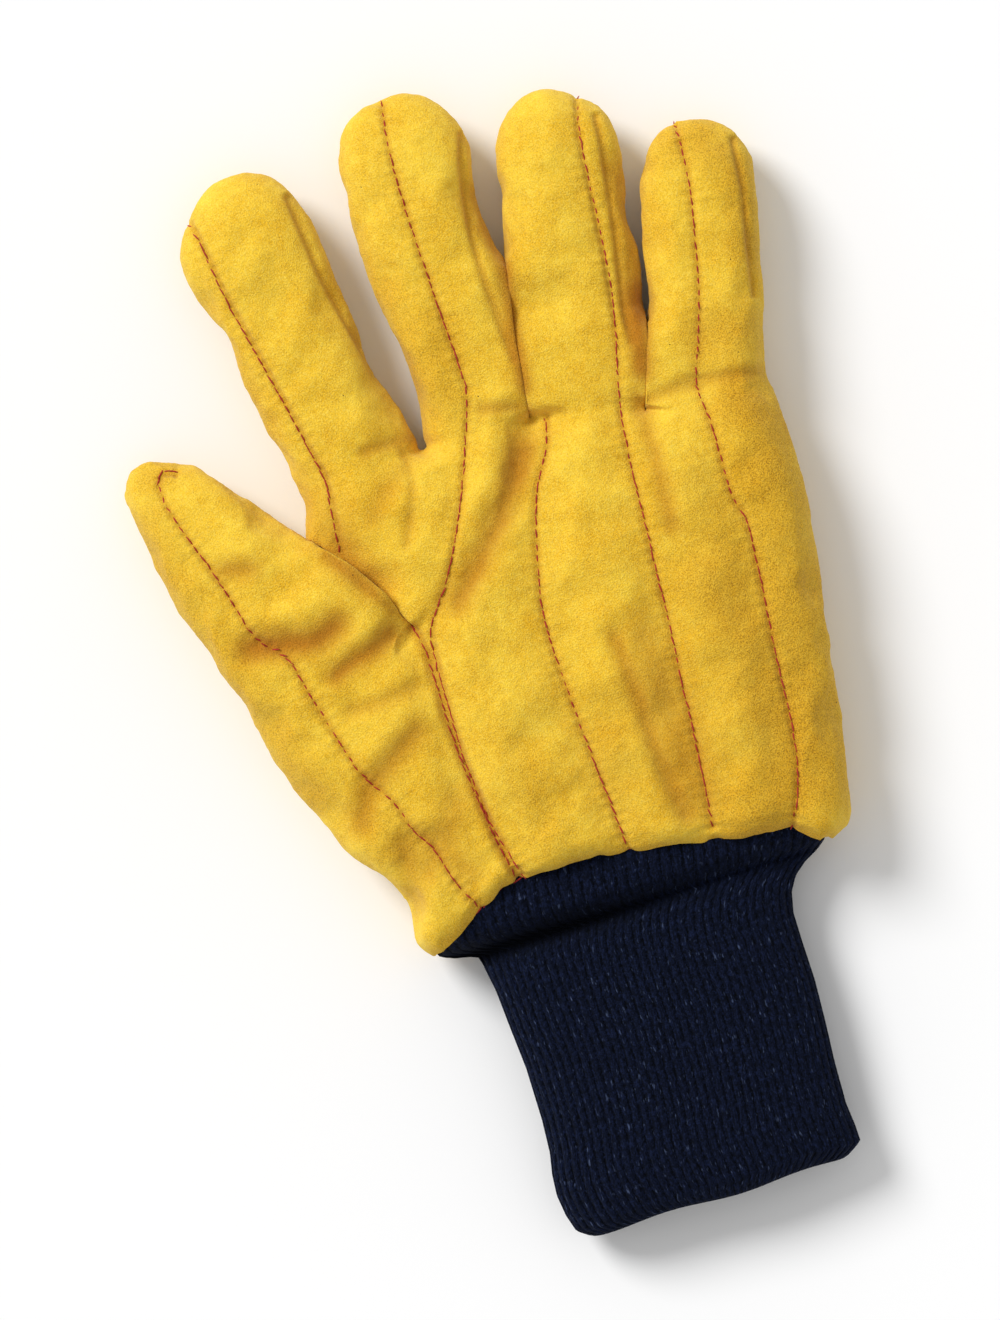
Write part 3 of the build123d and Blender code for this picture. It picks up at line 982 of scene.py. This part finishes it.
thread = Finish("red_cotton_thread")
strand = thread.noise(thread.node("TexCoord", out=3), 2600, 2)
thread.set(Base_Color=thread.mix(dye(118, 12, 10), dye(196, 40, 28), strand), Roughness=0.7)
thread.set(Normal=thread.bump(strand, 0.4, 0.2))

stitch_half, thread_half = 1.5 * mm, 0.2 * mm
dips_at, stitch_dip = 1.4 * mm, 0.12 * mm
bpy.ops.object.select_all(action="DESELECT")
bpy.ops.mesh.primitive_uv_sphere_add(segments=6, ring_count=5, radius=1, rotation=(0, pi / 2, 0))
stitch = bpy.context.object
bpy.ops.object.transform_apply(rotation=True)
stitch.data.transform(Matrix.Diagonal((stitch_half, thread_half, thread_half, 1)))
stitch.data.materials.append(thread.material)
for point in stitch.data.vertices:
    point.co.z -= stitch_dip * (point.co.x / dips_at) ** 4

random = np.random.default_rng(7)
stitch_wander = 0.08
stitch_slant, slant_spread = 0.07, 0.05
shortest, longest = 0.85, 1.1
deepest, highest = -0.1, 0.12
needle_above, needle_below = 0.06, -0.03


def sew(row, cloth_shape, side):
    """Copies the stitch along a row, on the front (1) or the back (-1) of a cloth."""
    line = smooth_line(row, row_pitch)
    copies = []
    for start, end in zip(line[:-1], line[1:]):
        middle = (start + end) / 2 + random.normal(0, stitch_wander, 2)
        needle = Vector((*middle * mm, needle_above if side > 0 else needle_below))
        place, normal = cloth_shape.ray_cast(needle, Vector((0, 0, -side)))[:2]
        if place is None:
            continue
        run = Vector((*(end - start), 0)).normalized()
        run = (run - normal * run.dot(normal)).normalized()
        turn = Matrix((run, normal.cross(run), normal)).transposed().to_4x4()
        slant = Matrix.Rotation(random.normal(stitch_slant, slant_spread), 4, "Z")
        length = Matrix.Diagonal((random.uniform(shortest, longest), 1, 1, 1))
        raised = place + normal * random.uniform(deepest, highest) * mm
        copy = stitch.copy()
        copy.data = stitch.data.copy()
        copy.data.transform(Matrix.Translation(raised) @ turn @ (slant @ length))
        scene.collection.objects.link(copy)
        copies.append((copy, middle))
    return copies


def join_row(copies, name, body, *nodes):
    """Makes one piece of some stitches, that stands for a thread of the frame."""
    select_only(*copies)
    row = copies[0]
    if len(copies) > 1:
        bpy.ops.object.join()
    row.name = name
    row.data.name = name
    bpy.ops.object.shade_smooth()
    bend_with(row, body)
    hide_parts(*nodes)


sewn = {}
for name, row in quilting.items():
    for copy, middle in sew(row, skin_shape, 1) + sew(row, skin_shape, -1):
        body = bodies[bodies_of(np.array([middle]))[0]]
        sewn.setdefault((body, name), []).append(copy)
for (body, name), copies in sewn.items():
    node = "palm_quilting_" + name if body == "hand" else body + "_quilting"
    nodes = [node] if node in frame["nodes"] else []
    join_row(copies, body + "_" + name + "_quilting_stitches", body, *nodes)
seam_stitches = [copy for copy, middle in sew(thumb_seam, skin_shape, 1)]
join_row(seam_stitches, "thumb_seam_stitches", "thumb", "thumb_seam_thread")

# ============================== knit wrist
# A tube of navy rib knit, sewn into the hand opening. It flares there into a soft band that is folded down
# over itself, then runs straight to its end, where the tube turns back inside to make a double layer.

ribs = 76
points_a_rib = 6
row_step = 0.76
inside_step = 1.6
knit_thickness = 2.8
knit_stitch = 1.45
rib_depth = 0.38
sewn_in_y, fold_y, end_y = -48.0, -64.6, -137.4

# Each side of the tube is a line of places: how far along the glove, and how far across it or up from the
# table.
left_edge = np.array([
    (end_y, -28), (-135, -31.4), (-131, -32.7), (-126, -33.4), (-121, -33), (-116, -32), (-108, -31.5),
    (-95, -31.5), (-85, -32.3), (-75, -33), (-68, -34.2), (-66.2, -34.8), (-65.4, -37), (fold_y, -41),
    (-63.4, -43.6), (-62, -44.2), (-56, -44.4), (sewn_in_y, -43),
])
right_edge = np.array([
    (end_y, 35.5), (-134, 40), (-130.5, 39.9), (-125, 39.3), (-115, 39.6), (-105, 40.3), (-95, 40.8),
    (-85, 40.6), (-78, 40.6), (-73, 41.7), (-69.5, 43.8), (-67, 47), (-65, 50.8), (-63, 53.2), (-56, 55),
    (sewn_in_y, 56),
])
top_side = np.array([
    (end_y, 15.5), (-134, 17.6), (-128, 18.6), (-110, 18.9), (-85, 18.9), (-74, 18.4), (-69, 17.4),
    (-66.4, 15.8), (fold_y, 14.2), (-62.6, 17.6), (-60, 20.2), (-56, 21.0), (-52, 20.6), (sewn_in_y, 19.5),
])
low_side = np.array([
    (end_y, 1.5), (-132, 0.5), (-80, 0.2), (-70, 0.8), (-62, 3.0), (-56, 4.2), (sewn_in_y, 4.6),
])

turn_radius = knit_thickness / 2
turn_y = end_y + turn_radius
outside_y = np.arange(sewn_in_y, turn_y, -row_step)
turns = np.linspace(0, pi, 7)[1:-1]
inside_y = np.arange(turn_y, sewn_in_y - 4, inside_step)
row_y = np.concatenate([outside_y, turn_y - turn_radius * np.sin(turns), inside_y])
row_inset = np.concatenate([0 * outside_y, turn_radius * (1 - np.cos(turns)), 0 * inside_y + knit_thickness])

bpy.ops.object.select_all(action="DESELECT")
around = ribs * points_a_rib
bpy.ops.mesh.primitive_grid_add(x_subdivisions=around, y_subdivisions=len(row_y) - 1, size=1)
knit = bpy.context.object
knit.name = "knit_wrist"
knit.data.name = knit.name
flat_knit = points_of(knit) * mm
column = np.rint((flat_knit[:, 0] + 0.5) * around).astype(int)
row = np.rint((flat_knit[:, 1] + 0.5) * (len(row_y) - 1)).astype(int)

angle = np.linspace(0, 2 * pi, 721)
section_x = np.sign(np.sin(angle)) * np.abs(np.sin(angle)) ** (2 / 3.2)
section_z = -np.sign(np.cos(angle)) * np.abs(np.cos(angle)) ** (2 / 2.6)
relief = rib_depth * (np.abs(np.sin(pi * np.arange(around + 1) / points_a_rib)) ** 0.8 - 0.6)


def ring_of_ribs(y, inset):
    """The points round the tube at one place along it, so far inside its outline."""
    left, right = np.interp(y, *left_edge.T), np.interp(y, *right_edge.T)
    top, low = np.interp(y, *top_side.T), np.interp(y, *low_side.T)
    half_x, half_z = (right - left) / 2 - inset, (top - low) / 2 - inset
    x, z = section_x * half_x, section_z * half_z
    travelled = np.concatenate([[0], np.cumsum(np.hypot(np.diff(x), np.diff(z)))])
    wanted = np.linspace(0, travelled[-1], around + 1)
    x, z = np.interp(wanted, travelled, x), np.interp(wanted, travelled, z)
    away = np.stack([np.gradient(z), -np.gradient(x)], axis=1)
    away /= np.maximum(np.hypot(away[:, 0], away[:, 1]), 1e-6)[:, None]
    ribbed = relief * (1 - 0.7 * inset / knit_thickness) * (-0.6 if inset > turn_radius else 1)
    ring = np.full((around + 1, 3), y)
    ring[:, 0] = (left + right) / 2 + x + away[:, 0] * ribbed
    ring[:, 2] = (top + low) / 2 + z + away[:, 1] * ribbed
    ring[-1] = ring[0]
    return ring


knit_rings = np.array([ring_of_ribs(y, inset) for y, inset in zip(row_y, row_inset)])
knit_points = knit_rings[row, column]
fold_width, fold_depth = 2.8, 3.2
at_fold = np.exp(-(((knit_points[:, 1] - fold_y + 0.6) / fold_width) ** 2)) * (knit_points[:, 2] > 9)
at_fold *= soft_step((34 - knit_points[:, 0]) / 50)
knit_points[:, 2] -= fold_depth * at_fold
wavy_from_y = -116
wavy = soft_step((wavy_from_y - knit_points[:, 1]) / 22)
knit_points[:, 1] -= wavy * (0.5 * np.sin(knit_points[:, 0] / 5.5) + 0.6)
put_points(knit, knit_points)
# Painted shade: at_fold is kept to darken the knit's colour in the fold under the band, most on the left.
keep(knit, "folded", at_fold)

knit_rows = np.concatenate([[0], np.cumsum(np.hypot(np.diff(row_y), np.diff(row_inset)))]) / knit_stitch
corners = read(knit.data.loops, "vertex_index", 1, np.int32).ravel()
stitch_map = np.stack([column[corners] / points_a_rib, knit_rows[row[corners]]], axis=1)
knit.data.uv_layers[0].data.foreach_set("uv", stitch_map.astype(np.float32).ravel())

bpy.ops.object.mode_set(mode="EDIT")
bpy.ops.mesh.select_all(action="SELECT")
bpy.ops.mesh.remove_doubles(threshold=0.01 * mm)
bpy.ops.mesh.select_all(action="DESELECT")
bpy.ops.mesh.select_mode(type="EDGE")
bpy.ops.mesh.select_non_manifold()
bpy.ops.mesh.bridge_edge_loops()
bpy.ops.mesh.select_all(action="SELECT")
bpy.ops.mesh.normals_make_consistent(inside=False)
bpy.ops.object.mode_set(mode="OBJECT")
bpy.ops.object.shade_smooth()


def make_knit():
    """Navy yarn in columns of knit stitches, one column on each rib, with a few paler flecks, and painted
    shade in its grooves and in the fold under the band.
    """
    yarn = Finish("navy_rib_knit")
    stitches = yarn.node("UVMap")
    across = yarn.node("SeparateXYZ", {0: stitches})
    up = yarn.node("SeparateXYZ", {0: stitches}, out=1)
    side = (across.math("FRACT") - 0.5).math("ABSOLUTE")
    leg = (up + side * 1.1).math("FRACT")
    strand = (leg * pi).math("SINE")
    groove = (side * 2.0) * (side * 2.0)
    where = yarn.node("TexCoord", out=3)
    loops = yarn.stretched(stitches, (1, 0.17, 1))
    streaks = yarn.noise(loops, 4.5, 3, 0.7)
    fuzz = yarn.noise(where, 2300, 3, 0.65)
    cloudy = yarn.noise(where, 120, 3)
    fleck = yarn.spread(yarn.noise(loops, 3.1, 2), 0.64, 0.76)
    height = strand * 0.3 - groove * 0.8 + fuzz * 0.7 + streaks * 1.4
    # Painted shade: the colour follows the bump's height, darker in the grooves between ribs and paler on
    # raised strands; the streaks and fuzz are the yarn's own tone.
    yarn_tone_and_groove_shade = yarn.spread(height, 0.35, 1.25)
    bright = yarn.spread(streaks * 0.6 + fuzz * 0.4, 0.48, 0.62)
    folded = yarn.node("Attribute", out=2, attribute_name="folded")
    colour = yarn.mix(dye(1, 2, 4), dye(10, 16, 33), yarn_tone_and_groove_shade * 0.8 + cloudy * 0.2)
    colour = yarn.mix(colour, dye(34, 46, 84), bright * 0.4)
    colour = yarn.mix(colour, dye(96, 112, 150), fleck * 0.45)
    # Painted shade in the fold under the band.
    colour = yarn.mix(colour, dye(1, 1, 3), folded * 0.85)
    yarn.set(Base_Color=colour, Roughness=0.9, Specular_IOR_Level=0.06)
    yarn.set(Sheen_Weight=0.04, Sheen_Roughness=0.5, Sheen_Tint=dye(150, 165, 200))
    yarn.set(Normal=yarn.bump(height, 0.8, 0.6))
    return yarn.material


knit.data.materials.append(make_knit())
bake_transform(knit)
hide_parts("knit_band", "knit_cuff")

# ============================== wrist seam
# Red thread that sews the knit band to the edge of the fleece, in stitches like those of the quilting, a
# little way inside the edge, on the front and on the back.

seam_inset = 1.4
knit_shape = BVHTree.FromObject(knit, bpy.context.evaluated_depsgraph_get())
front_row = [(x, y + seam_inset) for x, y in wrist_edge if -42 < x < 50]
back_row = [(-40, -60.6), (50, -60.6)]
wrist_stitches = [copy for copy, middle in sew(front_row, knit_shape, 1) + sew(back_row, knit_shape, -1)]
join_row(wrist_stitches, "wrist_seam_stitches", "hand", "wrist_seam_thread")
bpy.data.objects.remove(stitch)
